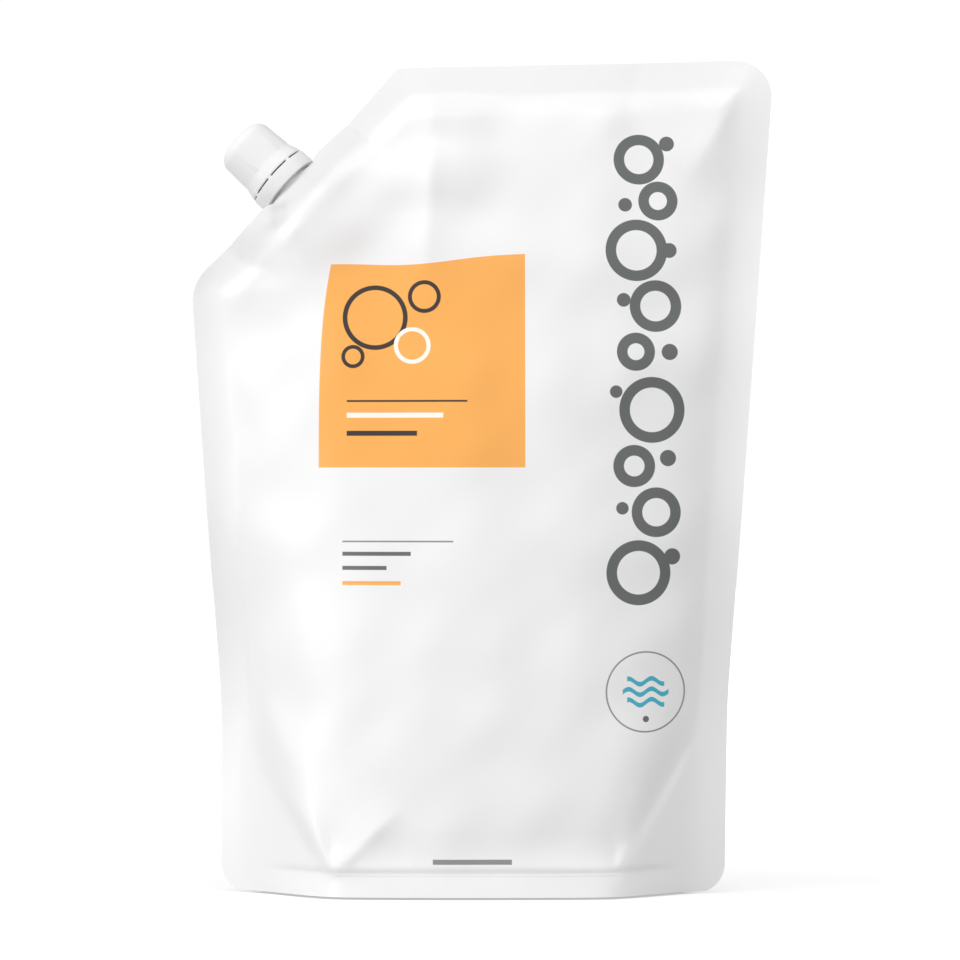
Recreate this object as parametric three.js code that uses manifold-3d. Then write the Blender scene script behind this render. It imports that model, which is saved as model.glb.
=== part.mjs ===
// Stand-up refill pouch for liquid soap, with a screw spout on its cut shoulder.
// Millimetres, +Z up, front towards -Y, base on z = 0.
import * as THREE from "three";
import { LoftGeometry } from "three/addons/geometries/LoftGeometry.js";
import { mergeVertices } from "three/addons/utils/BufferGeometryUtils.js";
import Module from "manifold-3d";

const wasm = await Module();
wasm.setup();

// Pouch outline, as the film lies before the top leans back
const filmHeight = 267;
const baseWidth = 161.4;
const shoulderWidth = 92.4;
const topWidth = 95;
const baseOffset = -2.2;
const waistHeight = 61;
const waistFlare = 1.1;
const shoulderHeight = 197.4;
const cutCornerX = -26.3;
const topEdgeSlope = 0.000085;
const baseCornerRadius = 9.5;
const waistRadius = 300;
const shoulderRadius = 14;
const cutCornerRadius = 4;
const cutBow = 2.8;
const cutBowRadius = 300;
const topCornerRadius = 12;

// Film and its heat seals
const filmThickness = 0.6;
const sealWidth = 9.8;
const stripHeight = 9;

// Filled body
const bellyDepth = 35;
const bellyHeight = 22;
const bellyTaper = 1.15;
const lowRoundness = 0.42;
const highRoundness = 0.72;
const roundingHeight = 140;
const bellyReach = 17;
const spoutWrapSpread = 0.35;
const spoutWrapFade = 46;

// Folded base between the two panels
const baseDepth = 59;
const baseBow = 2;
const baseMiddleTuck = 0.08;
const frontFlatHalf = 45;
const gussetHeight = 50;
const restHalfLength = 40;
const restHalfWidth = 13;
const restEndTaper = 6;
const recessMargin = 0.1;
const recessEnd = 1.6;

// Lean of the upper part
const leanAngle = THREE.MathUtils.degToRad(15);
const leanStart = 110;

// Spout: weld base, neck and thread
const spoutAlong = 44.1;
const weldLength = 49;
const weldWall = 2;
const weldHeight = 12;
const weldGroove = 0.8;
const weldRibs = 3;
const weldClearance = 0.3;
const weldFilm = 0.7;
const boreDiameter = 11.8;
const neckDiameter = 14.4;
const neckHeight = 20.2;
const mouthRadius = 0.5;
const collarStep = 1;
const ringOverhang = 1;
const ringStart = 3;
const ringHeight = 1.7;

// Screw thread, single start, right-handed
const threadPitch = 3;
const threadDepth = 0.8;
const threadTurns = 1.5;
const threadBase = 1.3;
const threadCrest = 0.7;
const threadTopGap = 3.1;
const stepsPerTurn = 32;

// Closure: cap over a tamper band
const bandStart = 1;
const bandHeight = 4.7;
const bandWall = 1.2;
const bandGap = 0.7;
const bandLip = 1.3;
const lipClearance = 0.5;
const slit = 0.8;
const bridgeCount = 8;
const bridgeWidth = 1.3;
const bridgeTurn = THREE.MathUtils.degToRad(25);
const capGap = 0.45;
const capTaper = 0.4;
const capEdgeRadius = 3.4;
const capWall = 1.3;
const capRoof = 1.4;
const skirtHeight = 3.4;
const skirtWaist = 0.2;
const ribCount = 6;
const ribWidth = 1.5;
const ribHeight = 0.25;
const ribTurn = THREE.MathUtils.degToRad(-58);
const matingTurns = 1.25;
const matingGap = 0.4;
const linerThickness = 1.2;
const linerClearance = 0.4;
const roofFillet = 0.8;
const clearance = 0.3;
const edgeBreak = 0.3;

// Smoothness
const roundFaces = 56;
const flankColumns = 4;
const frontColumns = 8;
const sealColumns = 2;

const { clamp, smoothstep, lerp } = THREE.MathUtils;
const vec = (x, y, z) => new THREE.Vector3(x, y, z);

// A closed geometry as a solid that can be joined and cut.
function solid(geometry) {
  const bare = new THREE.BufferGeometry().setAttribute("position", geometry.getAttribute("position"));
  const merged = mergeVertices(bare.setIndex(geometry.index), 1e-4);
  return new wasm.Manifold(
    new wasm.Mesh({
      numProp: 3,
      vertProperties: new Float32Array(merged.attributes.position.array),
      triVerts: new Uint32Array(merged.index.array),
    }),
  );
}

// A solid back as a geometry.
function geometryOf(body) {
  const mesh = body.getMesh();
  const geometry = new THREE.BufferGeometry();
  const positions = new THREE.BufferAttribute(new Float32Array(mesh.vertProperties), 3);
  geometry.setAttribute("position", positions);
  geometry.setIndex(new THREE.BufferAttribute(new Uint32Array(mesh.triVerts), 1));
  geometry.computeVertexNormals();
  return geometry;
}

// A solid of revolution about +Z from a closed profile of [radius, height] points.
function turned(profile) {
  const points = profile.map(([radius, height]) => new THREE.Vector2(radius, height));
  const onAxis = profile[0][0] === 0 && profile[profile.length - 1][0] === 0;
  if (!onAxis) points.push(points[0].clone());
  return solid(new THREE.LatheGeometry(points, roundFaces).rotateX(Math.PI / 2));
}

// The cut shoulder: its direction, its outward normal and the spout's place on it,
// where the film is drawn in round the weld base.
const shoulder = new THREE.Vector2(-shoulderWidth, shoulderHeight);
const cutAlong = new THREE.Vector2(cutCornerX, filmHeight).sub(shoulder).normalize();
const cutOut = new THREE.Vector2(-cutAlong.y, cutAlong.x);
const spoutFoot = shoulder.clone().addScaledVector(cutAlong, spoutAlong).addScaledVector(cutOut, -cutBow);

// Outline of the film: a polygon with rounded corners.
const baseHalf = baseWidth / 2;
const corners = [
  [baseOffset + baseHalf, 0, baseCornerRadius],
  [baseOffset + baseHalf + waistFlare, waistHeight, waistRadius],
  [topWidth, filmHeight, topCornerRadius],
  [cutCornerX, filmHeight, cutCornerRadius],
  [spoutFoot.x, spoutFoot.y, cutBowRadius],
  [-shoulderWidth, shoulderHeight, shoulderRadius],
  [baseOffset - baseHalf, waistHeight, waistRadius],
  [baseOffset - baseHalf, 0, baseCornerRadius],
];

function roundedOutline(points) {
  const path = new THREE.Path();
  points.forEach(([x, z, radius], i) => {
    const corner = new THREE.Vector2(x, z);
    const [px, pz] = points[(i + points.length - 1) % points.length];
    const [nx, nz] = points[(i + 1) % points.length];
    const back = new THREE.Vector2(px, pz).sub(corner).normalize();
    const on = new THREE.Vector2(nx, nz).sub(corner).normalize();
    const half = Math.acos(clamp(back.dot(on), -1, 1)) / 2;
    const reach = radius / Math.tan(half);
    const start = corner.clone().addScaledVector(back, reach);
    const centre = back.clone().add(on).normalize().multiplyScalar(radius / Math.sin(half)).add(corner);
    const end = corner.clone().addScaledVector(on, reach);
    const from = start.clone().sub(centre).angle();
    const to = end.clone().sub(centre).angle();
    if (i === 0) path.moveTo(start.x, start.y);
    else path.lineTo(start.x, start.y);
    path.absarc(centre.x, centre.y, radius, from, to, back.cross(on) > 0);
  });
  path.closePath();
  return path.getPoints(24);
}

// The two sides of the outline as chains that rise from the base to the top.
const rim = roundedOutline(corners);
const middle = (baseOffset + cutCornerX + topWidth) / 3;
const rising = (points) => points.slice().sort((a, b) => a.y - b.y || Math.abs(a.x) - Math.abs(b.x));
const rightChain = rising(rim.filter((p) => p.x > middle));
const leftChain = rising(rim.filter((p) => p.x <= middle));

function across(chain, z) {
  for (let i = 1; i < chain.length; i++) {
    const a = chain[i - 1];
    const b = chain[i];
    if (z <= b.y && b.y > a.y) return lerp(a.x, b.x, clamp((z - a.y) / (b.y - a.y), 0, 1));
  }
  return chain[chain.length - 1].x;
}

// Limits of the filled part at a height: inside the side seals and the cut's seal.
function filledSpan(z) {
  const level = Math.min(z, filmHeight - sealWidth);
  const side = Math.max(level, baseCornerRadius);
  const cutX = shoulder.x + (level - shoulder.y) * (cutAlong.x / cutAlong.y) + sealWidth / cutAlong.y;
  const left = Math.max(across(leftChain, side) + sealWidth, cutX);
  const right = Math.min(across(rightChain, side), topWidth - waistFlare) - sealWidth;
  return [left, right];
}

// Distance from the middle of the base, and the plan of the base panels there.
const kneeReach = baseHalf - sealWidth;
function footHalf(x) {
  const off = Math.abs(x - baseOffset);
  const bow = baseBow * (1 - Math.min(off / frontFlatHalf, 1) ** 2);
  const slope = clamp((kneeReach - off) / (kneeReach - frontFlatHalf), 0, 1);
  const corner = 1 - baseMiddleTuck * smoothstep(slope, 0.75, 1) * (1 - smoothstep(off, 0, frontFlatHalf));
  return (baseDepth / 2) * slope * corner + bow;
}

// Height of the seal between panel and base film, rising to the side seals.
function seamHeight(x) {
  const off = Math.abs(x - baseOffset);
  const rise = clamp((off - frontFlatHalf) / (kneeReach - frontFlatHalf), 0, 1);
  return lerp(stripHeight, gussetHeight, rise);
}

// Half thickness of the film round the spout's weld base.
const lensHalf = (s, half, reach) => half * Math.max(0, 1 - (s / reach) ** 2);
const weldWidth = neckDiameter + 2 * weldWall;
const wrapHalf = weldWidth / 2 + weldClearance + weldFilm - filmThickness / 2;
const wrapReach = weldLength / 2 + weldFilm * 4;
function spoutWrap(x, z) {
  const point = new THREE.Vector2(x, z).sub(spoutFoot);
  const along = point.dot(cutAlong);
  const inward = -point.dot(cutOut);
  const past = Math.max(0, inward - weldHeight);
  const spread = wrapReach + past * spoutWrapSpread;
  return lensHalf(along, wrapHalf, spread) * (1 - smoothstep(past, 0, spoutWrapFade));
}

// Half thickness of the filled pouch at a point of its outline plane.
function halfDepth(x, z) {
  const [left, right] = filledSpan(z);
  const u = clamp((x - left) / (right - left), 0, 1);
  const height = clamp((z - bellyHeight) / (filmHeight - sealWidth - bellyHeight), 0, 1);
  const roundness = lerp(lowRoundness, highRoundness, smoothstep(z, bellyHeight, roundingHeight));
  const pillow = bellyDepth * (1 - height ** bellyTaper) * (4 * u * (1 - u)) ** roundness;
  const seam = seamHeight(x);
  const rise = smoothstep(z, seam, seam + bellyReach);
  const body = lerp(Math.min(footHalf(x), bellyDepth), pillow, rise);
  return filmThickness / 2 + Math.cbrt(body ** 3 + spoutWrap(x, z) ** 3);
}

// A point of the flat film, set at its height and leaned back with the upper part.
const bend = leanAngle / (filmHeight - leanStart);
function placed(x, y, z) {
  const height = z * (1 + topEdgeSlope * x);
  if (height < leanStart) return vec(x, y, height);
  const angle = bend * (height - leanStart);
  const backY = (1 - Math.cos(angle)) / bend;
  const upZ = leanStart + Math.sin(angle) / bend;
  return vec(x, backY + y * Math.cos(angle), upZ - y * Math.sin(angle));
}

// Heights of the sections: close at the corners and round the spout.
function levels() {
  const list = [0, 0.8, 2.2, 4.4, 7, baseCornerRadius];
  const spoutLow = spoutFoot.y - (weldLength / 2 + 4) * cutAlong.y;
  const spoutHigh = spoutFoot.y + (weldLength / 2 + 4) * cutAlong.y;
  const lower = 22;
  for (let i = 1; i <= lower; i++) list.push(lerp(baseCornerRadius, spoutLow, i / lower));
  const upper = 20;
  for (let i = 1; i <= upper; i++) list.push(lerp(spoutLow, spoutHigh, i / upper));
  const topCorner = filmHeight - topCornerRadius;
  list.push(lerp(spoutHigh, topCorner, 0.5), topCorner, filmHeight - sealWidth);
  [6, 3.6, 1.8, 0.3, 0].forEach((below) => list.push(filmHeight - below));
  return list;
}

// Columns of one section: seal, filled panel, seal.
function columns(z) {
  const outerLeft = across(leftChain, z);
  const outerRight = across(rightChain, z);
  const [left, right] = filledSpan(z);
  const span = outerRight - outerLeft;
  const innerLeft = clamp(left, outerLeft + span * 0.02, outerRight - span * 0.5);
  const innerRight = clamp(right, innerLeft + span * 0.1, outerRight - span * 0.02);
  const list = [];
  for (let i = 0; i < sealColumns; i++) list.push(lerp(outerLeft, innerLeft, i / sealColumns));
  const knee = (kneeReach - frontFlatHalf) / (2 * kneeReach);
  const flank = (i) => knee * (i / flankColumns) ** 1.3;
  for (let i = 0; i < flankColumns; i++) list.push(lerp(innerLeft, innerRight, flank(i)));
  for (let i = 0; i <= frontColumns; i++) {
    list.push(lerp(innerLeft, innerRight, lerp(knee, 1 - knee, i / frontColumns)));
  }
  for (let i = flankColumns - 1; i >= 0; i--) list.push(lerp(innerRight, innerLeft, flank(i)));
  for (let i = 1; i <= sealColumns; i++) list.push(lerp(innerRight, outerRight, i / sealColumns));
  return list;
}

// Front and back panels as one loft. The pressed top edge runs out in the film's middle.
function pouchBody() {
  const sections = levels().map((z) => {
    const xs = columns(z);
    const half = (x) => (z < filmHeight ? halfDepth(x, z) : 0);
    const front = xs.map((x) => placed(x, -half(x), z));
    const back = xs.map((x) => placed(x, half(x), z)).reverse();
    return front.concat(back);
  });
  return solid(new LoftGeometry(sections, { capStart: true, capEnd: false }));
}

// The space under the folded base: the film comes down from its seals to a flat patch.
function baseRecess() {
  const skirt = filmThickness + recessMargin;
  const end = kneeReach - recessEnd;
  const stations = 36;
  const sections = [];
  for (let i = 0; i <= stations; i++) {
    const off = lerp(-end, end, i / stations);
    const x = baseOffset + off;
    const half = Math.max(footHalf(x) - skirt, 0.3);
    const past = clamp((Math.abs(off) - restHalfLength) / (kneeReach - restHalfLength), 0, 1);
    const ended = smoothstep(Math.abs(off), restHalfLength - restEndTaper, restHalfLength + restEndTaper);
    const flat = Math.max(Math.min(restHalfWidth * (1 - ended), half * 0.6), half * 0.1);
    const seam = seamHeight(x) - 0.4;
    const low = past > 0 ? lerp(-0.4, gussetHeight * 0.93, past ** 1.25) : -0.4;
    const floor = Math.min(low, seam - 0.5);
    const section = [vec(x, -half, -2), vec(x, half, -2)];
    const arcs = 6;
    const roof = [];
    for (let k = 0; k <= arcs; k++) {
      const turn = (k / arcs) * (Math.PI / 2);
      roof.push([lerp(flat, half, Math.sin(turn)), lerp(floor, seam, 1 - Math.cos(turn))]);
    }
    roof.slice().reverse().forEach(([y, z]) => section.push(vec(x, y, z)));
    roof.forEach(([y, z]) => section.push(vec(x, -y, z)));
    sections.push(section);
  }
  return solid(new LoftGeometry(sections, { capStart: true, capEnd: true }));
}

// Weld base outline: two arcs that meet in points.
function lensShape(length, width) {
  const shape = new THREE.Shape();
  shape.moveTo(-length / 2, 0);
  shape.quadraticCurveTo(0, -width, length / 2, 0);
  shape.quadraticCurveTo(0, width, -length / 2, 0);
  return shape;
}

function lensPlate(length, width, from, height) {
  const plate = new THREE.ExtrudeGeometry(lensShape(length, width), {
    depth: height,
    bevelEnabled: false,
    curveSegments: 16,
  });
  return solid(plate.translate(0, 0, from));
}

// A thread ridge that winds up the axis and runs out at both ends.
function threadRidge(root, crest, start, turns) {
  const steps = Math.round(turns * stepsPerTurn);
  const runOut = stepsPerTurn / 5;
  const outward = Math.sign(crest - root);
  const sections = [];
  for (let i = 0; i <= steps; i++) {
    const angle = (i / stepsPerTurn) * Math.PI * 2;
    const z = start + (i / stepsPerTurn) * threadPitch;
    const grown = clamp(Math.min(i, steps - i) / runOut, 0.12, 1);
    const tip = lerp(root, crest, grown);
    const foot = root - outward * 0.35;
    const halfBase = threadBase / 2;
    const halfCrest = threadCrest / 2;
    const section = [[foot, -halfBase], [tip, -halfCrest], [tip, halfCrest], [foot, halfBase]];
    if (outward > 0) section.reverse();
    sections.push(section.map(([r, h]) => vec(r * Math.cos(angle), r * Math.sin(angle), z + h)));
  }
  return solid(new LoftGeometry(sections, { capStart: true, capEnd: true }));
}

// Radii and heights that the spout, the band, the cap and its liner share
const neck = neckDiameter / 2;
const collar = neck + collarStep;
const ring = collar + ringOverhang;
const ringTop = ringStart + ringHeight;
const threadStart = neckHeight - threadTopGap - threadTurns * threadPitch;
const bandInner = ring + bandGap;
const bandOuter = bandInner + bandWall;
const bandTop = bandStart + bandHeight;
const capInner = neck + threadDepth + capGap;
const capOuter = capInner + capWall;
const capStart = bandTop + slit;
const linerLow = neckHeight + clearance;
const capRoofLow = linerLow + linerThickness + clearance;
const capTop = capRoofLow + capRoof;

// Spout: ribbed weld base, collar, retaining ring, threaded neck and open bore
function spoutBody() {
  let body = lensPlate(weldLength - 2 * weldGroove, weldWidth - 2 * weldGroove, -weldHeight, weldHeight);
  const ribStep = weldHeight / (weldRibs - 0.4);
  for (let i = 0; i < weldRibs; i++) {
    body = body.add(lensPlate(weldLength, weldWidth, -weldHeight + i * ribStep, ribStep * 0.6));
  }
  body = body.add(turned([
    [0, -weldHeight],
    [neck, -weldHeight],
    [collar, -0.5],
    [collar, ringStart],
    [ring, ringStart + 0.2],
    [ring, ringTop - 0.6],
    [neck + 0.4, ringTop],
    [neck, ringTop + 0.6],
    [neck, neckHeight - mouthRadius],
    [neck - mouthRadius, neckHeight],
    [0, neckHeight],
  ]));
  body = body.add(threadRidge(neck, neck + threadDepth, threadStart, threadTurns));
  const bore = boreDiameter / 2;
  return body.subtract(turned([
    [0, -weldHeight - 1],
    [bore, -weldHeight - 1],
    [bore, neckHeight - mouthRadius],
    [bore + mouthRadius, neckHeight + 0.01],
    [bore + mouthRadius, neckHeight + 1],
    [0, neckHeight + 1],
  ]));
}

// Tamper band: a plain ring with a lip under the spout's ring, and the torn-off bridges' stubs
function bandBody() {
  const outer = bandOuter;
  const inner = bandInner;
  const lip = collar + lipClearance;
  let body = turned([
    [lip, bandStart + edgeBreak],
    [lip + edgeBreak, bandStart],
    [outer - edgeBreak, bandStart],
    [outer, bandStart + edgeBreak],
    [outer, bandTop - edgeBreak],
    [outer - edgeBreak, bandTop],
    [inner, bandTop],
    [inner, bandStart + bandLip + 0.6],
    [lip, bandStart + bandLip],
  ]);
  for (let i = 0; i < bridgeCount; i++) {
    const bridge = new THREE.BoxGeometry(bandWall * 0.7, bridgeWidth, slit - clearance + 0.4);
    bridge.translate(inner + bandWall / 2, 0, bandTop + (slit - clearance - 0.4) / 2);
    bridge.rotateZ(bridgeTurn + (i / bridgeCount) * Math.PI * 2);
    body = body.add(solid(bridge));
  }
  return body;
}

// Cap: tapered shell with a waist, a flared skirt, fine ribs and the mating thread
function capBody() {
  const top = capOuter - capTaper;
  const side = capOuter;
  const skirt = bandOuter - 0.05;
  const innerSkirt = bandInner;
  const arc = 6;
  const outside = [
    [innerSkirt, capStart],
    [skirt - 0.15, capStart],
    [skirt, capStart + 0.2],
    [skirt - 0.12, capStart + skirtHeight * 0.38],
    [skirt - 0.6, capStart + skirtHeight * 0.7],
    [side + skirtWaist * 0.2, capStart + skirtHeight],
    [side - skirtWaist, capStart + skirtHeight * 1.35],
    [side - skirtWaist * 0.6, capStart + skirtHeight * 1.9],
  ];
  for (let i = 0; i <= arc; i++) {
    const angle = (i / arc) * (Math.PI / 2);
    outside.push([
      top - capEdgeRadius * (1 - Math.cos(angle)),
      capTop - capEdgeRadius * (1 - Math.sin(angle)),
    ]);
  }
  outside.push([0, capTop + 0.1]);
  let body = turned([[0, capStart], ...outside]);
  for (let i = 0; i < ribCount; i++) {
    const low = capStart + skirtHeight * 1.2;
    const high = capTop - capEdgeRadius * 1.6;
    const rib = new THREE.BoxGeometry(1, ribWidth, high - low);
    rib.translate(lerp(side, top, 0.5) - skirtWaist / 2 + ribHeight - 0.5, 0, (low + high) / 2);
    rib.rotateZ(ribTurn + (i / ribCount) * Math.PI * 2);
    body = body.add(solid(rib));
  }
  const hollow = turned([
    [0, capStart - 1],
    [innerSkirt, capStart - 1],
    [innerSkirt, capStart + 0.6],
    [capInner, capStart + skirtHeight],
    [capInner - 0.25, capRoofLow - roofFillet],
    [capInner - roofFillet, capRoofLow],
    [0, capRoofLow],
  ]);
  body = body.subtract(hollow);
  const ridgeTop = threadStart + threadPitch / 2;
  return body.add(threadRidge(capInner, neck + matingGap, ridgeTop - threadPitch, matingTurns));
}

// Liner: the soft disc that seals the mouth
function linerBody() {
  const radius = capInner - roofFillet - linerClearance;
  const high = linerLow + linerThickness;
  return turned([
    [0, linerLow],
    [radius - edgeBreak, linerLow],
    [radius, linerLow + edgeBreak],
    [radius, high - edgeBreak],
    [radius - edgeBreak, high],
    [0, high],
  ]);
}

// The closure's frame: +Z out of the mouth, +X up along the cut, +Y through the film
function closureMatrix() {
  const at = (along, out) => {
    const p = spoutFoot.clone().addScaledVector(cutAlong, along).addScaledVector(cutOut, out);
    return placed(p.x, 0, p.y);
  };
  const origin = at(0, 0);
  const out = at(0, 1).sub(at(0, -1)).normalize();
  const along = at(1, 0).sub(at(-1, 0));
  along.addScaledVector(out, -along.dot(out)).normalize();
  const through = new THREE.Vector3().crossVectors(out, along);
  return new THREE.Matrix4().makeBasis(along, through, out).setPosition(origin);
}

const film = { color: 0xefefef, roughness: 0.32, metalness: 0 };
const moulded = { color: 0xf2f2f2, roughness: 0.42, metalness: 0 };
const foam = { color: 0xe4e4e0, roughness: 0.8, metalness: 0 };

function piece(name, body, look) {
  const mesh = new THREE.Mesh(geometryOf(body), new THREE.MeshStandardMaterial(look));
  mesh.name = name;
  return mesh;
}

// Pouch with the pocket for the weld base and the space under its base cut out
const frame = closureMatrix();
const pocket = lensPlate(
  weldLength + 2 * weldClearance,
  weldWidth + 2 * weldClearance,
  -weldHeight - weldClearance,
  weldHeight + weldClearance + 4,
);
const pocketPlaced = solid(geometryOf(pocket).applyMatrix4(frame));
const pouch = pouchBody().subtract(pocketPlaced).subtract(baseRecess());

const closure = new THREE.Group();
closure.applyMatrix4(frame);
closure.add(
  piece("spout", spoutBody(), moulded),
  piece("tamper_band", bandBody(), moulded),
  piece("cap", capBody(), moulded),
  piece("cap_liner", linerBody(), foam),
);

// The whole pack, with its origin on the floor under the middle of its box
const pack = new THREE.Group();
pack.add(piece("pouch", pouch, film), closure);
const box = new THREE.Box3().setFromObject(pack, true);
const centre = box.getCenter(vec(0, 0, 0));
pack.position.set(-centre.x, -centre.y, -box.min.z);

export default pack;
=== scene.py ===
import math

import bpy
import numpy as np
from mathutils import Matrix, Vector


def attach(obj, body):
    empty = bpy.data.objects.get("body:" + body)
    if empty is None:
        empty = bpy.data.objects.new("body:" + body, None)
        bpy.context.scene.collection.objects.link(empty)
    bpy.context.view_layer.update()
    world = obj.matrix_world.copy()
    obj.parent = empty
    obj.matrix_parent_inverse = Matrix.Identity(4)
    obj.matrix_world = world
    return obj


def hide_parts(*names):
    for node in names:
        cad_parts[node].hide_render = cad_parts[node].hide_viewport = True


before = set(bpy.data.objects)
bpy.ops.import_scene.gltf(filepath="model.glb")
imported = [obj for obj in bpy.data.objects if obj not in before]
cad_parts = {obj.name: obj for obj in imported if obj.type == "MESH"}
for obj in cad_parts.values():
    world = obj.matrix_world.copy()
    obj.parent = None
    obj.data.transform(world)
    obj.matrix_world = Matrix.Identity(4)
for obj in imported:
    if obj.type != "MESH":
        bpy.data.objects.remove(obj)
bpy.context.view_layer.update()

# Room and camera: a white floor that runs back to a white surround, brighter from the
# left and in front, three softboxes, and a level long-lens camera at half height.
scene = bpy.context.scene
scene.view_settings.view_transform = "Standard"
camera = bpy.data.objects.new("camera", bpy.data.cameras.new("camera"))
scene.collection.objects.link(camera)
scene.camera = camera
camera_distance, view_width = 2.1, 0.3066
camera.data.sensor_width = 36
camera.data.lens = camera.data.sensor_width * camera_distance / view_width
camera.location = (-0.0008, -camera_distance, 0.1321)
camera.rotation_euler = (math.pi / 2, 0, 0)


def plug(node, values):
    """Set a node's inputs, or link them where the value is a Wire."""
    for name, value in values.items():
        if isinstance(value, Wire):
            value.tree.links.new(value.socket, node.inputs[name])
        else:
            node.inputs[name].default_value = value


class Wire:
    """A shader socket that takes part in plain arithmetic."""

    def __init__(self, tree, socket=None):
        self.tree, self.socket = tree, socket

    def node(self, kind, settings=None, values=None, out=0):
        made = self.tree.nodes.new(kind)
        for name, value in (settings or {}).items():
            setattr(made, name, value)
        plug(made, values or {})
        return Wire(self.tree, made.outputs[out])

    def maths(self, operation, *others):
        values = dict(enumerate((self,) + others))
        return self.node("ShaderNodeMath", {"operation": operation}, values)

    def __add__(self, other):
        return self.maths("ADD", other)

    def __sub__(self, other):
        return self.maths("SUBTRACT", other)

    def __rsub__(self, other):
        return self.maths("MULTIPLY_ADD", -1.0, other)

    def __mul__(self, other):
        return self.maths("MULTIPLY", other)

    def __truediv__(self, other):
        return self.maths("DIVIDE", other)

    def __pow__(self, other):
        return self.maths("POWER", other)

    __radd__, __rmul__ = __add__, __mul__

    def low(self, other):
        return self.maths("MINIMUM", other)

    def high(self, other):
        return self.maths("MAXIMUM", other)

    def size(self):
        return self.maths("ABSOLUTE")

    def sine(self):
        return self.maths("SINE")

    def held(self):
        return self.high(0.0).low(1.0)

    def axis(self, number):
        return self.node("ShaderNodeSeparateXYZ", values={0: self}, out=number)

    def length(self):
        return self.node("ShaderNodeVectorMath", {"operation": "LENGTH"}, {0: self}, 1)

    def shade(self, from_colour, to_colour):
        values = {0: self, 6: from_colour, 7: to_colour}
        return self.node("ShaderNodeMix", {"data_type": "RGBA"}, values, 2)


def material(name):
    made = bpy.data.materials.new(name)
    made.use_nodes = True
    return made, made.node_tree.nodes["Principled BSDF"], Wire(made.node_tree)


def linear(red, green, blue):
    parts = [v / 255 for v in (red, green, blue)]
    parts = [v / 12.92 if v < 0.04045 else ((v + 0.055) / 1.055) ** 2.4 for v in parts]
    return (*parts, 1.0)


black, white = (0, 0, 0, 1), (1, 1, 1, 1)
world = bpy.data.worlds.new("surround")
scene.world = world
world.use_nodes = True
wire = Wire(world.node_tree)
to_camera = wire.node("ShaderNodeLightPath", out=0)
sky = wire.node("ShaderNodeTexCoord", out="Generated")
rightward, inward, upward = sky.axis(0), sky.axis(1), sky.axis(2)
glow = 0.87 - rightward * 0.34 + upward * 0.26 - inward * 0.24 - inward.high(0.0) * 0.5
surround = to_camera.shade(glow.shade(black, white), (1.02, 1.02, 1.02, 1))
plug(world.node_tree.nodes["Background"], {"Color": surround})


def softbox(name, location, target, width, height, power):
    data = bpy.data.lights.new(name, "AREA")
    data.shape = "RECTANGLE"
    data.size, data.size_y, data.energy = width, height, power
    made = bpy.data.objects.new(name, data)
    scene.collection.objects.link(made)
    made.location = location
    towards = Vector(target) - Vector(location)
    made.rotation_euler = towards.to_track_quat("-Z", "Y").to_euler()


softbox("key_softbox", (-1.35, -0.7, 0.6), (0, 0, 0.14), 0.7, 1.2, 4.2)
softbox("low_softbox", (-0.45, -0.45, 0.06), (-0.06, 0, 0.06), 0.25, 0.25, 0.22)
softbox("top_softbox", (-0.1, -0.6, 1.4), (0, 0, 0.1), 1.2, 0.6, 2.0)

reach = 6
floor_mesh = bpy.data.meshes.new("floor")
floor_mesh.from_pydata(
    [(-reach, -reach, 0), (reach, -reach, 0), (reach, reach, 0), (-reach, reach, 0)],
    [], [(0, 1, 2, 3)],
)
floor = bpy.data.objects.new("floor", floor_mesh)
scene.collection.objects.link(floor)
paint, shader, wire = material("floor_white")
to_camera = wire.node("ShaderNodeLightPath", out=0)
place = wire.node("ShaderNodeTexCoord", out="Object")
far = ((place.length() - 0.15) * 2.5).held()
plug(shader, {
    "Base Color": (0.61, 0.61, 0.61, 1),
    "Roughness": 1.0,
    "Specular IOR Level": 0.0,
    "Emission Color": (to_camera * (far * 0.4 + 0.48)).shade(black, white),
    "Emission Strength": 1.0,
})
floor_mesh.materials.append(paint)

# Pouch film: front and back panels of white laminate, heat-sealed to each other and to
# the folded base film, and filled with soap. One fine mesh over the flat outline is
# pushed out by the filling and worked with the folds that sealed film takes.
MM = 0.001
film_height, base_width, base_offset = 267.0, 161.4, -2.2
seal = 9.8
base_corner, waist, side_radius = 9.5, 61, 300
cut_low = np.array((-92.4, 197.4))
cut_high = np.array((-26.3, film_height))
top_right, top_corner = 95.0, 12
base_half = base_width / 2


def unit(vector):
    return vector / np.linalg.norm(vector)


cut_along = unit(cut_high - cut_low)
cut_out = np.array((-cut_along[1], cut_along[0]))
spout_foot = cut_low + cut_along * 44.1 - cut_out * 2.8


def rounded(corners, steps=24):
    """Points round a polygon whose corners are (x, z, radius), in order."""
    points = []
    for i, (x, z, radius) in enumerate(corners):
        corner = np.array((x, z))
        if radius == 0:
            points.append(corner)
            continue
        back = unit(np.array(corners[i - 1][:2]) - corner)
        ahead = unit(np.array(corners[(i + 1) % len(corners)][:2]) - corner)
        half = math.acos(np.clip(back @ ahead, -1, 1)) / 2
        centre = corner + unit(back + ahead) * radius / math.sin(half)
        start = math.atan2(*(corner + back * radius / math.tan(half) - centre)[::-1])
        end = math.atan2(*(corner + ahead * radius / math.tan(half) - centre)[::-1])
        turn = (end - start + math.pi) % (2 * math.pi) - math.pi
        for angle in start + turn * np.linspace(0, 1, steps + 1):
            points.append(centre + radius * np.array((math.cos(angle), math.sin(angle))))
    return np.array(points)


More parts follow.
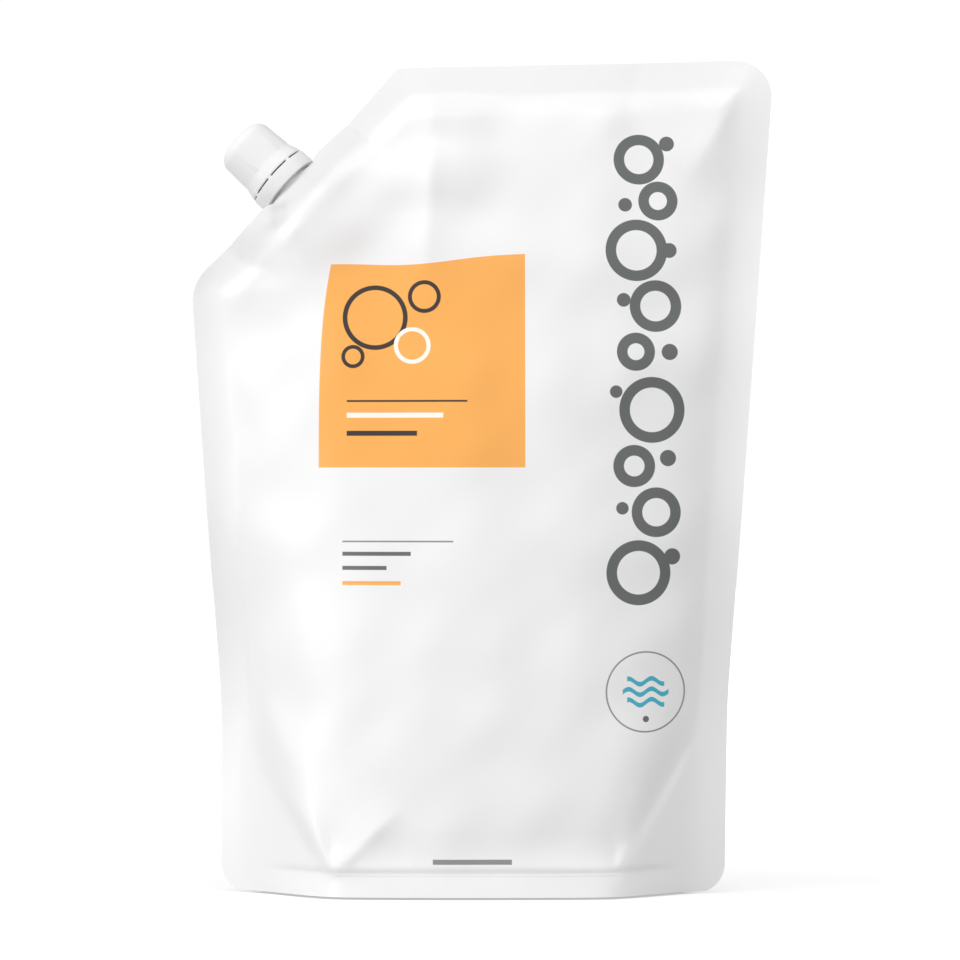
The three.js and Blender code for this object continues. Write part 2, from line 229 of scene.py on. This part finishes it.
rim = rounded([
    (base_offset + base_half, 0, base_corner),
    (base_offset + base_half + 1.1, waist, side_radius),
    (top_right, film_height, top_corner),
    (*cut_high, 4),
    (*spout_foot, side_radius),
    (*cut_low, 14),
    (base_offset - base_half, waist, side_radius),
    (base_offset - base_half, 0, base_corner),
])
middle_shift = -(rim[:, 0].min() + rim[:, 0].max()) / 2
rising = rim[np.argsort(rim[:, 1], kind="stable")]
right_side, left_side = rising[rising[:, 0] > 20], rising[rising[:, 0] <= 20]
right_side[0, 1], left_side[0, 1] = 0, 0


def edges(z):
    return [np.interp(z, side[:, 1], side[:, 0]) for side in (left_side, right_side)]


def smooth(t, low=0.0, high=1.0):
    t = np.clip((t - low) / (high - low), 0, 1)
    return t * t * (3 - 2 * t)


def filled_span(z):
    """Where the filled part starts and ends at a height, between the seals."""
    level = np.minimum(z, film_height - seal)
    left, right = edges(np.maximum(level, base_corner))
    cut = cut_low[0] + (level - cut_low[1]) * cut_along[0] / cut_along[1] + seal / cut_along[1]
    return np.maximum(left + seal, cut), np.minimum(right, top_right - 1.1) - seal


knee = base_half - seal
front_flat = 45.0
foot_depth, foot_bow = 29.4, 2.0


def foot_slope(off):
    """1 where the front of the base is straight, down to 0 where it meets the side seal."""
    return (knee - off) / (knee - front_flat)


def foot_half(x):
    """Half the depth of the base: a long six-sided foot with softened corners."""
    off = np.abs(x - base_offset)
    slope, softened = foot_slope(off), 0.16
    slope = 0.5 * (1 + slope - np.sqrt((slope - 1) ** 2 + softened ** 2)) + softened * 0.06
    slope = np.where(off < knee, np.maximum(slope, 0), 0)
    return foot_depth * slope + foot_bow * (1 - np.minimum(off / front_flat, 1) ** 2)


def seam_height(x):
    """Top of the seal to the base film: a low strip that climbs steeply at both sides."""
    return 9 + 41 * np.clip(1 - foot_slope(np.abs(x - base_offset)), 0, 1)


def from_spout(x, z):
    """Distance along the cut edge from the spout's foot, and in from the edge."""
    right, up = x - spout_foot[0], z - spout_foot[1]
    return right * cut_along[0] + up * cut_along[1], -(right * cut_out[0] + up * cut_out[1])


def spout_wrap(x, z):
    """The film's half depth where it lies round the boat-shaped weld base."""
    along, inward = from_spout(x, z)
    past = np.maximum(0, inward - 12)
    spread = 27.3 + past * 0.35
    return 9.9 * np.maximum(0, 1 - (along / spread) ** 2) * (1 - smooth(past, 0, 40))


def half_depth(x, z):
    """Half the depth of the filled bag: a pillow above the seam, the foot below it."""
    left, right = filled_span(z)
    off = np.abs(x - base_offset)
    u = np.clip((x - left) / (right - left), 0, 1)
    gap = np.minimum.reduce((x - left, right - x, (x - left) * cut_along[1] * 1.4))
    gap = np.maximum(0, gap)
    height = np.clip((z - 22) / (film_height - seal - 22), 0, 1)
    roundness = 0.42 + 0.36 * smooth(z, 40, 170)
    softness = 0.6 + 6.0 * smooth(z, 30, 150) + 8 * smooth(z, 165, 220) * smooth(-x, 0, 45)
    pillow = 34.5 * (1 - height ** 1.15) * (4 * u * (1 - u)) ** roundness
    pillow = pillow * gap / (gap + softness) * (1 + softness / 70)
    pillow = pillow * (1 - 0.16 * np.clip(1 - z / 110, 0, 1) ** 2)
    flank = smooth(off, 44, 60)
    climb = np.clip((z - seam_height(x)) / (15 + 9 * flank), 0, 1)
    rise = 1 - (1 - climb) ** (2.2 - 0.6 * flank)
    foot = foot_half(x)
    flare = np.where(off < knee, (4.5 - z) * 0.25, 0) * (1 - smooth(z, 8, 10))
    foot = foot + flare * smooth(foot, 2, 20)
    body = foot * (1 - rise) + pillow * rise
    return 0.3 + np.cbrt(np.maximum(body, 0) ** 3 + spout_wrap(x, z) ** 3)


def sweep(x, z):
    """How far the sealed edges are swept back, which turns the film smoothly into them."""
    left, right = filled_span(z)
    cut = (x - cut_low[0]) * cut_out[0] + (z - cut_low[1]) * cut_out[1] + seal
    gap = np.minimum.reduce((x - left, right - x, np.where(z > 150, -cut, 99)))
    inside = np.exp(-np.maximum(gap, 0) / 12) * 12
    outside = np.where(gap < 0, -gap - gap * gap * 0.07, 0)
    level = (0.14 + 0.2 * smooth(z, 20, 90)) * (1.3 - 0.3 * smooth(x, -40, 40))
    level = level * smooth(z, -5, 60) * (1 - smooth(z, 215, 262))
    near = np.hypot(x - spout_foot[0], z - spout_foot[1])
    return (inside + outside) * level * smooth(near, 16, 60)


def corners_back(x, z):
    """The two low corners, swept back, the left one more, with the knee's fold eased."""
    off = np.abs(x - base_offset)
    past, slope = off - 50, foot_slope(off)
    lean = 0.44 - 0.24 * smooth(x, -30, 30)
    back = lean * (np.sqrt(past * past + 64) + past) / 2 * (1 - smooth(z, 30, 130))
    eased = (slope + np.sqrt(slope * slope + 0.04)) / 2 - np.maximum(slope, 0)
    return back - foot_depth * eased * (1 - smooth(z, 30, 75))


lean_from = 110
bend = math.radians(15) / (film_height - lean_from)
top_climb = 0.000085


def placed(x, y, z):
    """Points of the flat film in the frame: the upper part leans back along an arc."""
    height = z * (1 + top_climb * x)
    angle = bend * np.maximum(0, height - lean_from)
    back = (1 - np.cos(angle)) / bend
    up = np.where(height < lean_from, height, lean_from + np.sin(angle) / bend)
    return np.stack(
        (x + middle_shift, back + y * np.cos(angle), up - y * np.sin(angle)), axis=-1)


view_middle, view_foot, view_scale = 479, 893.5, 0.3194


def at(px, py):
    """Millimetres on the print for a place in the front view."""
    return (px - view_middle) * view_scale, (view_foot - py) * view_scale


def on_panel(px, py):
    """Millimetres on the flat panel for a place in the front view."""
    right, up = at(px, py)
    return np.array((right, up / 0.997))


def crease(x, z, start, end, height, left, right, edge, fade=0.25):
    """A fold from start to end: its height falls away by left and right of the line."""
    start, end = on_panel(*start), on_panel(*end)
    length = np.linalg.norm(end - start)
    ahead = (end - start) / length
    along = ((x - start[0]) * ahead[0] + (z - start[1]) * ahead[1]) / length
    side = (x - start[0]) * ahead[1] - (z - start[1]) * ahead[0]
    fall = np.exp(-(np.sqrt(side ** 2 + edge ** 2) - edge) / np.where(side < 0, left, right))
    ends = smooth(along, -fade, fade) * (1 - smooth(along, 1 - fade, 1 + fade))
    return height * fall * ends


def swell(x, z, centre, wide, tall, height, turn=0):
    """A soft rise (or, with a negative height, a dent) round a point."""
    right, up = on_panel(*centre)
    c, s = math.cos(math.radians(turn)), math.sin(math.radians(turn))
    a = ((x - right) * c + (z - up) * s) / wide
    b = (-(x - right) * s + (z - up) * c) / tall
    return height * np.exp(-(a * a + b * b))


def worked(x, z, creases, swells):
    return (sum(crease(x, z, *values) for values in creases)
            + sum(swell(x, z, *values) for values in swells))


# Each crease: start, end, height, fall to its left and right, softness, fade of its ends.
front_creases = (
    ((431, 90), (431, 185), 6.5, 20, 24, 1.2, 0.35),
    ((431, 165), (427, 268), 4.4, 10, 14, 1.0, 0.3),
    ((352, 165), (376, 268), -0.5, 9, 8, 3),
    ((745, 92), (692, 172), 1.6, 8, 12, 1.2),
    ((700, 110), (640, 175), -0.9, 10, 10, 4),
    ((300, 204), (226, 305), 1.2, 6, 8, 2),
    ((309, 202), (286, 244), 0.8, 3, 2.2, 0.5),
    ((710, 540), (709, 715), -1.6, 2.4, 3.4, 0.6),
    ((722, 640), (715, 760), 0.8, 3, 3, 0.8),
    ((262, 692), (326, 850), 1.2, 5, 8, 1.6),
    ((300, 690), (352, 830), -0.8, 7, 9, 3),
    ((338, 866), (392, 812), 2.3, 8, 4, 0.6, 0.3),
    ((694, 728), (630, 872), -3.4, 5, 6, 1.2),
    ((248, 745), (337, 868), 2.4, 3, 9, 0.5),
    ((655, 720), (600, 800), 0.9, 9, 8, 4),
    ((336, 846), (352, 858), 0.6, 1.5, 1.5, 0.4),
)
# Each swell: centre, width, height on the panel, height out of it and turn in degrees.
front_swells = (
    ((300, 420), 22, 10, 0.8, 50),
    ((285, 560), 14, 9, -0.7, -30),
    ((600, 300), 30, 12, 0.8, -35),
    ((640, 170), 12, 20, 0.9),
    ((612, 118), 6, 8, 1.1, -20),
    ((540, 215), 14, 10, 0.7, 20),
    ((560, 400), 40, 60, 0.8, 20),
    ((714, 765), 4, 12, -1.0),
)
# Folds that run on through the sealed edges, in both panels alike.
shared_creases = (
    ((756, 70), (705, 160), 1.8, 15, 9, 1.5, 0.35),
    ((420, 66), (436, 120), 0.7, 8, 6, 1.5, 0.4),
    ((269, 200), (275, 226), 0.9, 1.8, 2.4, 0.4),
    ((280, 204), (286, 228), -0.8, 2.2, 2.2, 0.4),
    ((297, 168), (318, 192), -0.9, 3, 3, 0.8),
    ((640, 64), (628, 110), -0.6, 6, 5, 1.5, 0.4),
    ((530, 66), (540, 130), 0.5, 14, 12, 3, 0.4),
)
shared_swells = (((346, 192), 8, 14, -1.8, -43),)
back_creases = (
    ((560, 110), (548, 300), 1.8, 12, 9, 1.5),
    ((738, 96), (690, 190), 1.8, 8, 10, 1.2),
    ((300, 215), (232, 320), 1.5, 6, 8, 1.5),
    ((690, 660), (626, 838), -1.2, 8, 7, 2),
    ((268, 680), (334, 850), 1.2, 6, 7, 1.4),
)
back_swells = (((430, 520), 45, 70, 0.9, -15),)

draw = np.random.default_rng(7).uniform
longest = 46
wave_set = [(draw(0, 2 * math.pi), draw(16, longest), draw(0, 2 * math.pi), draw(0.5, 1))
            for _ in range(18)]


def unrest(x, z):
    """Low waves that stiff film keeps all over."""
    total = 0
    for turn, length, phase, share in wave_set:
        run = (x * math.cos(turn) + z * math.sin(turn)) * 2 * math.pi / length
        total = total + share * np.sin(run + phase) * length / longest
    return total


foot_rows, body_rows, top_rows = 16, 214, 22
panel_steps, seal_steps = 148, 7
z_rows = np.concatenate((
    np.linspace(0, base_corner, foot_rows)[:-1],
    np.linspace(base_corner, film_height - top_corner, body_rows)[:-1],
    film_height - top_corner * (1 - np.sin(np.linspace(0, math.pi / 2, top_rows))),
))
outer_left, outer_right = edges(z_rows)
inner_left, inner_right = filled_span(z_rows)
span = outer_right - outer_left
inner_left = np.clip(inner_left, outer_left + span * 0.02, outer_right - span * 0.5)
inner_right = np.clip(inner_right, inner_left + span * 0.1, outer_right - span * 0.02)


def between(start, end, steps):
    return start[:, None] + (end - start)[:, None] * np.linspace(0, 1, steps + 1)[None, :]


X = np.concatenate((
    between(outer_left, inner_left, seal_steps)[:, :-1],
    between(inner_left, inner_right, panel_steps),
    between(inner_right, outer_right, seal_steps)[:, 1:],
), axis=1)
Z = np.repeat(z_rows[:, None], X.shape[1], axis=1)
depth = half_depth(X, Z)
left, right = filled_span(Z)
inner_gap = np.minimum.reduce((X - left, right - X, film_height - seal - Z))
over_seam = Z - seam_height(X)
freedom = smooth(inner_gap, -2, 8) * smooth(over_seam, -7, 6)
seal_mask = 1 - smooth(inner_gap, -0.6, 0.4) * smooth(over_seam, -0.8, 0.8)
common = unrest(X * 0.6 + 40, Z * 0.6) * 0.12 * (1 - smooth(Z, 200, 250)) * smooth(Z, 4, 40)
common = common + corners_back(X, Z)
front_folds = (worked(X, Z, front_creases, front_swells) + unrest(X, Z) * 0.3) * freedom
back_folds = (worked(X, Z, back_creases, back_swells) + unrest(X + 90, Z) * 0.16) * freedom
swept = sweep(X, Z) - worked(X, Z, shared_creases, shared_swells)
lifted = np.where(Z < 0.01, 0.7, 0)
along, inward = from_spout(X, Z)
drawn = 1.5 * (1 - smooth(np.abs(along), 8.6, 11.4)) * np.exp(-np.maximum(inward, 0) / 5)
X, Z = X - cut_out[0] * drawn, Z - cut_out[1] * drawn
front = placed(X, common + swept - depth - np.maximum(front_folds, -0.6 * depth), Z)
back = placed(X, common + swept * (1 - 0.5 * freedom) + depth + back_folds, Z)
front[..., 2] += lifted
back[..., 2] += lifted
offset = X.size
index = np.arange(offset).reshape(X.shape)


def grid_faces(numbers):
    corners = (numbers[:-1, :-1], numbers[:-1, 1:], numbers[1:, 1:], numbers[1:, :-1])
    return np.stack(corners, axis=-1).reshape(-1, 4)


def strip(line, keep):
    """The narrow edge faces between the two panels along a line of points."""
    pairs = zip(line[:-1], line[1:], keep[:-1])
    return [(int(a), int(a) + offset, int(b) + offset, int(b)) for a, b, k in pairs if k]


quads = grid_faces(index)
thin = depth < 0.9
faces = quads.tolist() + (quads[:, ::-1] + offset).tolist()
faces += strip(index[::-1, 0], thin[::-1, 0])
faces += strip(index[:, -1], thin[:, -1])
faces += strip(index[-1, ::-1], thin[-1, ::-1])
faces += strip(index[0, :], thin[0, :])


def mesh_piece(name, points, faces, values=None):
    made = bpy.data.meshes.new(name)
    made.from_pydata((np.asarray(points) * MM).tolist(), [], faces)
    for key, data in (values or {}).items():
        attribute = made.attributes.new(key, "FLOAT", "POINT")
        attribute.data.foreach_set("value", np.asarray(data, dtype=np.float32).ravel())
    made.shade_smooth()
    made.validate()
    piece = bpy.data.objects.new(name, made)
    scene.collection.objects.link(piece)
    return piece


pouch = mesh_piece(
    "pouch_film",
    np.concatenate((front.reshape(-1, 3), back.reshape(-1, 3))),
    faces,
    {
        "front": np.concatenate((np.ones(offset), np.zeros(offset))),
        "seal": np.concatenate((seal_mask.ravel(), seal_mask.ravel())),
    },
)
pouch.data.set_sharp_from_angle(angle=math.radians(50))
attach(pouch, "pouch")
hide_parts("pouch")

film, shader, wire = material("white_film")
place = wire.node("ShaderNodeTexCoord", out="Object")
x, z = place.axis(0) / MM, place.axis(2) / MM
on_front = wire.node("ShaderNodeAttribute", {"attribute_name": "front"}, out=2)
sealed = wire.node("ShaderNodeAttribute", {"attribute_name": "seal"}, out=2)


def inside_of(distance, soft_edge=0.16):
    return (distance / soft_edge + 0.5).held()


def away(cx, cz):
    return ((x - cx) ** 2 + (z - cz) ** 2) ** 0.5


def ring(cx, cz, radius, width):
    return inside_of(width / 2 - (away(cx, cz) - radius).size())


def dot(cx, cz, radius):
    return inside_of(radius - away(cx, cz))


def bar(px_left, py_top, px_right, py_low):
    (x_left, z_top), (x_right, z_low) = at(px_left, py_top), at(px_right, py_low)
    return inside_of((x - x_left).low(x_right - x).low(z - z_low).low(z_top - z))


paper = linear(245, 244, 244)
orange, cream = linear(254, 178, 84), linear(255, 250, 240)
brown, teal = linear(46, 34, 28), linear(62, 178, 200)
grey, pale_grey = linear(100, 103, 103), linear(140, 142, 142)

# The orange field, with a bowed left edge and a wavy top, and bubbles drawn on it.
field_left, field_top = at(316, 262)
field_right, field_low = at(521.5, 467.5)
down = ((field_top - z) / (field_top - field_low)).held()
across = ((x - field_left) / (field_right - field_left)).held()
left_edge = field_left + 3.9 * (1 - down) ** 3.5
top_edge = field_top - 1.2 + across * across * 3.8 + (across * 9.0 + 0.6).sine() * 0.45
field = inside_of((x - left_edge).low(field_right - x).low(z - field_low).low(top_edge - z))
print_colour = field.shade(paper, orange)
for px, py, radius, width, ink in (
    (372, 318, 9.6, 1.5, brown), (421, 297, 4.6, 1.3, brown),
    (350, 357, 3.1, 1.2, brown), (409, 346, 5.2, 1.3, cream),
):
    print_colour = ring(*at(px, py), radius, width).shade(print_colour, ink)

# Bars in the places of the words.
for *corners, ink in (
    (344, 400.4, 464, 402.3, brown), (344, 413, 440, 418, cream), (344, 431, 414, 436, brown),
    (340, 540, 450, 541.6, pale_grey), (340, 551, 408, 555, grey), (340, 565, 384, 569, grey),
    (340, 580, 398, 584, orange), (430, 854, 508, 859, pale_grey),
):
    print_colour = bar(*corners).shade(print_colour, ink)

# The column of rings and dots down the right, and the round badge with three waves.
for px, py, radius in (
    (634, 572, 8.6), (652, 512, 6.2), (630, 466, 5.0), (648, 410, 8.8), (632, 352, 4.4),
    (652, 306, 6.6), (633, 250, 8.2), (655, 200, 4.6), (636, 158, 6.4),
):
    print_colour = ring(*at(px, py), radius, 3.4).shade(print_colour, grey)
for px, py, radius in (
    (668, 556, 2.6), (618, 508, 2.0), (664, 458, 2.6), (612, 392, 2.0), (666, 352, 2.6),
    (620, 300, 2.2), (666, 250, 2.4), (622, 204, 2.2), (664, 142, 2.4),
):
    print_colour = dot(*at(px, py), radius).shade(print_colour, grey)
badge_x, badge_z = at(641, 690)
print_colour = ring(badge_x, badge_z, 12.6, 0.5).shade(print_colour, pale_grey)
for up, half_length in ((-3.3, 6.0), (0, 7.4), (3.3, 6.0)):
    crest = badge_z + up + ((x - badge_x) * 0.85).sine() * 0.9
    wavy = inside_of((0.75 - (z - crest).size()).low(half_length - (x - badge_x).size()))
    print_colour = wavy.shade(print_colour, teal)
print_colour = dot(badge_x, badge_z - 8.6, 1.0).shade(print_colour, grey)

# Relief in metres: the knurl of the top seal, grain, slow unevenness and the base seam.
knurl = ((x + z) * 5.2).sine() * ((x - z) * 5.2).sine()
near_top = (z * 0.03 - 7.2).held()
cloudy = wire.node("ShaderNodeTexNoise", values={"Vector": place, "Scale": 26.0, "Detail": 3.0})
grain = wire.node("ShaderNodeTexNoise", values={"Vector": place, "Scale": 420.0, "Detail": 2.0})
seam_line = (1.0 - (z - 7.6).size() / 0.5).held()
seam_line = seam_line * (front_flat - (x - base_offset).size()).held()
relief = knurl * sealed * near_top * 0.00003 + grain * 0.00001
relief = relief + cloudy * 0.0002 + seam_line * 0.00015
plug(shader, {
    "Base Color": on_front.shade(paper, print_colour),
    "Roughness": 0.33 + (cloudy - 0.5) * 0.12,
    "Coat Weight": 0.15,
    "Coat Roughness": 0.2,
    "Normal": wire.node("ShaderNodeBump", values={
        "Height": relief, "Strength": 0.8, "Distance": 1.0}),
})
pouch.data.materials.append(film)

# Base film: the same laminate folded up inside the two panels, sealed to them along the
# base strip and the two slanting corners, and pressed down to a flat patch by the soap.
stations, arcs = 120, 26
base_points = []
for off in np.linspace(-knee + 0.6, knee - 0.6, stations + 1):
    x_here = base_offset + off
    half = max(float(foot_half(x_here)) - 1.9, 0.2)
    past = max(0.0, (abs(off) - 40) / (knee - 40))
    flat = max(min(13 * (1 - float(smooth(abs(off), 34, 46))), half * 0.6), half * 0.1)
    seam = float(seam_height(x_here)) - 0.2
    floor_level = min(0.12 + 46 * past ** 1.25, seam - 0.5)
    turn = np.linspace(math.pi / 2, 0, arcs + 1)
    out = flat + (half - flat) * np.sin(turn)
    rise = floor_level + (seam - floor_level) * (1 - np.cos(turn))
    y, rise = np.concatenate((-out, out[::-1])), np.concatenate((rise, rise[::-1]))
    y = y + corners_back(x_here, rise) + sweep(x_here, rise)
    base_points.append(np.stack((np.full(len(y), x_here + middle_shift), y, rise), axis=-1))
base_points = np.array(base_points)
base_faces = grid_faces(np.arange(base_points[..., 0].size).reshape(base_points.shape[:2]))
base_film = mesh_piece("base_film", base_points.reshape(-1, 3), base_faces.tolist())
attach(base_film, "pouch")
inner_film, shader, wire = material("white_base_film")
place = wire.node("ShaderNodeTexCoord", out="Object")
cloudy = wire.node("ShaderNodeTexNoise", values={"Vector": place, "Scale": 30.0, "Detail": 3.0})
plug(shader, {
    "Base Color": linear(236, 236, 236),
    "Roughness": 0.3 + cloudy * 0.1,
    "Normal": wire.node("ShaderNodeBump", values={"Height": cloudy * 0.0006, "Distance": 1.0}),
})
base_film.data.materials.append(inner_film)

# Spout: one white moulding, its boat-shaped weld base held between the panels, with a
# collar, a retaining ring and a threaded neck that stands out of the cut shoulder.


def in_film(point):
    return placed(point[0], 0.0, point[1])


foot = in_film(spout_foot)
out_axis = unit(in_film(spout_foot + cut_out) - in_film(spout_foot - cut_out))
run_axis = in_film(spout_foot + cut_along) - in_film(spout_foot - cut_along)
run_axis = unit(run_axis - out_axis * (run_axis @ out_axis))
closure = np.stack((run_axis, np.cross(out_axis, run_axis), out_axis), axis=1)


def set_in_cut(points):
    """Points of the closure's own frame, +Z out of the mouth, put in the cut shoulder."""
    return np.asarray(points) @ closure.T + foot


def turned(profile, segments=240, grooves=None):
    """Points and faces of a closed profile of (radius, height) turned about the axis."""
    profile = np.asarray(profile, float)
    angles = (np.arange(segments) * 2 * math.pi / segments)[:, None]
    radius = np.repeat(profile[None, :, 0], segments, axis=0)
    level = np.repeat(profile[None, :, 1], segments, axis=0)
    if grooves is not None:
        radius = radius + grooves(angles, level, radius)
    points = np.stack((radius * np.cos(angles), radius * np.sin(angles), level), axis=-1)
    n = len(profile)
    faces = []
    for i in range(segments):
        j = (i + 1) % segments
        for k in range(n):
            m = (k + 1) % n
            faces.append((i * n + k, j * n + k, j * n + m, i * n + m))
    return points.reshape(-1, 3), faces


def joined(*parts):
    points, faces, start = [], [], 0
    for part_points, part_faces in parts:
        points.append(part_points)
        faces += [tuple(v + start for v in face) for face in part_faces]
        start += len(part_points)
    return np.concatenate(points), faces


def thread(root, crest, start, turns, steps=60, pitch=3):
    """A ridge of trapezoid section wound right-handed up the axis, fading at its ends."""
    total = int(turns * steps)
    sunk = root - 0.3 * np.sign(crest - root)
    points = []
    for i in range(total + 1):
        angle = i / steps * 2 * math.pi
        grown = min(1, max(0.05, min(i, total - i) / (steps / 5)))
        top = root + (crest - root) * grown
        for radius, up in ((sunk, -0.65), (top, -0.35), (top, 0.35), (sunk, 0.65)):
            level = start + pitch * i / steps + up
            points.append((radius * math.cos(angle), radius * math.sin(angle), level))
    faces = [(4 * i + k, 4 * i + (k + 1) % 4, 4 * i + 4 + (k + 1) % 4, 4 * i + 4 + k)
             for i in range(total) for k in range(4)]
    return np.array(points), faces


def lens(length, width, low, high, steps=40):
    """A plate whose outline is two arcs that meet in points."""
    s = np.linspace(-1, 1, steps + 1)
    arc = width / 2 * (1 - s ** 2)
    outline = [(length / 2 * a, -b) for a, b in zip(s, arc)]
    outline += [(length / 2 * a, b) for a, b in zip(s[::-1], arc[::-1])][1:-1]
    n = len(outline)
    points = [(a, b, low) for a, b in outline] + [(a, b, high) for a, b in outline]
    faces = [(i, (i + 1) % n, n + (i + 1) % n, n + i) for i in range(n)]
    return np.array(points), faces + [tuple(range(n))[::-1], tuple(range(n, 2 * n))]


neck, bore, collar, ring_out = 7.2, 5.9, 8.2, 9.2
weld_depth, mouth = -12, 20.2
spout_profile = rounded([
    (bore, weld_depth, 0), (neck, weld_depth, 0), (collar, -0.5, 0), (collar, 3.0, 0),
    (ring_out, 3.2, 0.15), (ring_out, 4.1, 0.15), (7.6, 4.7, 0.1), (neck, 5.3, 0.3),
    (neck, mouth, 0.5), (bore, mouth, 0.5),
], 5)
spout_points, spout_faces = joined(
    turned(spout_profile),
    thread(neck, 8.0, 12.6, 1.5),
    lens(48.4, 17.8, weld_depth, -0.15),
)
spout = mesh_piece("spout_moulding", set_in_cut(spout_points), spout_faces)
spout.data.set_sharp_from_angle(angle=math.radians(40))
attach(spout, "pouch")
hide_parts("spout")
moulded, shader, wire = material("moulded_white")
place = wire.node("ShaderNodeTexCoord", out="Object")
grain = wire.node("ShaderNodeTexNoise", values={"Vector": place, "Scale": 900.0, "Detail": 2.0})
patch = wire.node("ShaderNodeTexNoise", values={"Vector": place, "Scale": 120.0})
plug(shader, {
    "Base Color": linear(240, 240, 240),
    "Roughness": 0.36 + patch * 0.12,
    "Specular IOR Level": 0.3,
    "Subsurface Weight": 0.15,
    "Subsurface Radius": (0.002, 0.002, 0.002),
    "Normal": wire.node("ShaderNodeBump", values={
        "Height": grain * 0.000012 + patch * 0.00002, "Distance": 1.0}),
})
spout.data.materials.append(moulded)

# Tamper band: a thin moulded ring under the cap, held below the spout's ring by its lip.
# Eight narrow bridges tie it to the cap's skirt across a fine slit.
band_low, band_top, band_out, band_in, lip_in = 1.0, 5.85, 11.1, 9.9, 8.75
band_profile = rounded([
    (lip_in, band_low, 0.2), (band_out, band_low, 0.35), (band_out, band_top, 0.25),
    (band_in, band_top, 0), (band_in, 2.9, 0), (lip_in, 2.3, 0),
], 5)
box_faces = [(0, 1, 3, 2), (4, 6, 7, 5), (0, 4, 5, 1), (2, 3, 7, 6), (0, 2, 6, 4), (1, 5, 7, 3)]
bridge_low, bridge_high, bridge_half = 5.4, 6.48, 0.65
bridges = []
for i in range(8):
    angle = math.radians(25 + 45 * i)
    c, s = math.cos(angle), math.sin(angle)
    corners = [(r * c - t * s, r * s + t * c, level) for r in (10.05, 10.95)
               for t in (-bridge_half, bridge_half) for level in (bridge_low, bridge_high)]
    bridges.append((np.array(corners), box_faces))
band_points, band_faces = joined(turned(band_profile), *bridges)
tamper_band = mesh_piece("tamper_ring", set_in_cut(band_points), band_faces)
tamper_band.data.set_sharp_from_angle(angle=math.radians(40))
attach(tamper_band, "pouch")
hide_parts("tamper_band")
tamper_band.data.materials.append(moulded)

# Cap: a hollow moulded screw cap, nearly straight with a rounded top edge, a slight
# waist and a skirt flared to the band, with a few low grip ribs down its side.
skirt_low, cap_top, cap_roof, cap_in = 6.4, 23.4, 22.0, 8.45
cap_profile = rounded([
    (9.9, skirt_low, 0.1), (10.95, skirt_low, 0.3), (10.55, 8.0, 1.6), (9.75, 10.6, 4.0),
    (9.6, 14.0, 9), (9.3, cap_top, 3.8), (0.02, cap_top + 0.12, 0), (0.02, cap_roof, 0),
    (7.5, cap_roof, 0.3), (8.25, 21.2, 0.3), (cap_in, 9.9, 0), (9.9, 7.1, 0),
], 8)


def grip(angle, level, radius):
    """Six low ribs down the outside, fading at the skirt and under the top edge."""
    sector = 2 * math.pi / 6
    beat = np.abs(((angle - math.radians(-58)) / sector + 0.5) % 1 - 0.5) * sector * 9.3
    rib = 0.22 * (1 - smooth(beat, 0.45, 0.95))
    span = smooth(level, 10.4, 11.6) * (1 - smooth(level, 18.0, 19.6))
    return np.where(radius > 9.0, rib * span, 0)


cap_points, cap_faces = joined(
    turned(cap_profile, 360, grip),
    thread(cap_in, 7.6, 11.1, 1.25),
)
cap = mesh_piece("screw_cap", set_in_cut(cap_points), cap_faces)
cap.data.set_sharp_from_angle(angle=math.radians(40))
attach(cap, "cap")
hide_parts("cap")
cap.data.materials.append(moulded)

# Cap liner: a soft foamed disc, punched from sheet and pressed into the cap's roof,
# where it seals the mouth of the spout.
liner_low, liner_high, liner_out = 20.5, 21.7, 7.25
liner_profile = rounded([
    (0.02, liner_low, 0), (liner_out, liner_low, 0.2),
    (liner_out, liner_high, 0.2), (0.02, liner_high, 0),
], 4)
liner_points, liner_faces = turned(liner_profile, 120)
liner = mesh_piece("liner_disc", set_in_cut(liner_points), liner_faces)
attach(liner, "liner")
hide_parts("cap_liner")
foam, shader, wire = material("foamed_liner")
place = wire.node("ShaderNodeTexCoord", out="Object")
cells = wire.node("ShaderNodeTexNoise", values={"Vector": place, "Scale": 2500.0, "Detail": 1.0})
plug(shader, {
    "Base Color": linear(226, 226, 222),
    "Roughness": 0.8,
    "Normal": wire.node("ShaderNodeBump", values={"Height": cells * 0.00008, "Distance": 1.0}),
})
liner.data.materials.append(foam)
